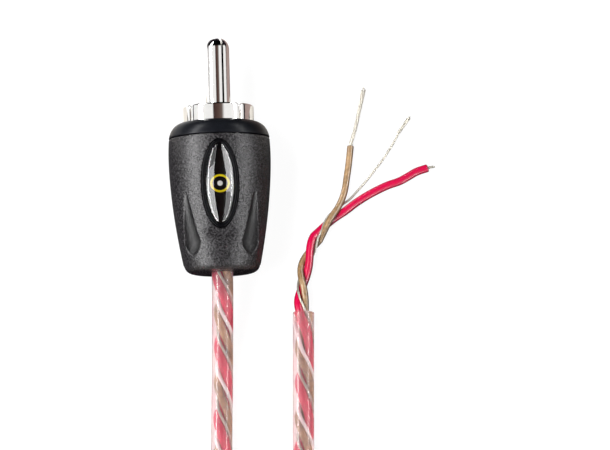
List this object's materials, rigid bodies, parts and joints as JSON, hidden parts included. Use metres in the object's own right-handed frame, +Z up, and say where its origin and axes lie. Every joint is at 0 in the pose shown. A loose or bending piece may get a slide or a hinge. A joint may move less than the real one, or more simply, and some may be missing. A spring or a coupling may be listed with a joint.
{
  "type": "rca audio cable",
  "caption": "Moulded phono plug with split pin and slotted collar on a clear jacketed audio lead, coiled, its far end stripped to twisted cores.",
  "frame": {"origin": "under the middle of the plug's box, on the surface that the plug and its lead lie on", "axes": "+Y along the plug towards its pin, +Z up through the badge, +X to the right seen from the cable"},
  "size_m": [0.0467, 0.1086, 0.0135],
  "materials": {
    "nickel": "bright nickel plating on brass",
    "insulator": "natural moulded plastic",
    "smooth_moulding": "satin, smooth",
    "grained_moulding": "fine sandblast grain",
    "gloss_black": "polished",
    "clear_resin": "clear domed resin",
    "sleeve": "hard moulded sleeve",
    "solder": "soldered joint",
    "red_insulation": "smooth extruded insulation",
    "brown_insulation": "smooth extruded insulation",
    "tinned_copper": "tinned fine strands",
    "clear_jacket": "clear pink-tinted extrusion",
    "tie_fabric": "woven strap"
  },
  "bodies": {
    "root": {"center_pin": "nickel", "ground_collar": "nickel", "pin_insulator": "insulator", "front_cap": "smooth_moulding", "boot_shell": "grained_moulding", "badge_bezel": "gloss_black", "badge_plate": "gloss_black", "badge_dome": "clear_resin", "inner_sleeve": "sleeve", "pin_solder": "solder", "ground_solder": "solder", "red_wire_in_plug": "red_insulation", "brown_wire_in_plug": "brown_insulation", "drain_wire_in_plug": "tinned_copper", "lead_from_plug": "clear_jacket", "lead_coil": "clear_jacket", "coil_tie": "tie_fabric", "lead_to_bare_end": "clear_jacket", "red_core": "red_insulation", "red_strands": "tinned_copper", "brown_core": "brown_insulation", "brown_strands": "tinned_copper", "drain_wire": "tinned_copper", "drain_tip": "tinned_copper"}
  },
  "joints": []
}
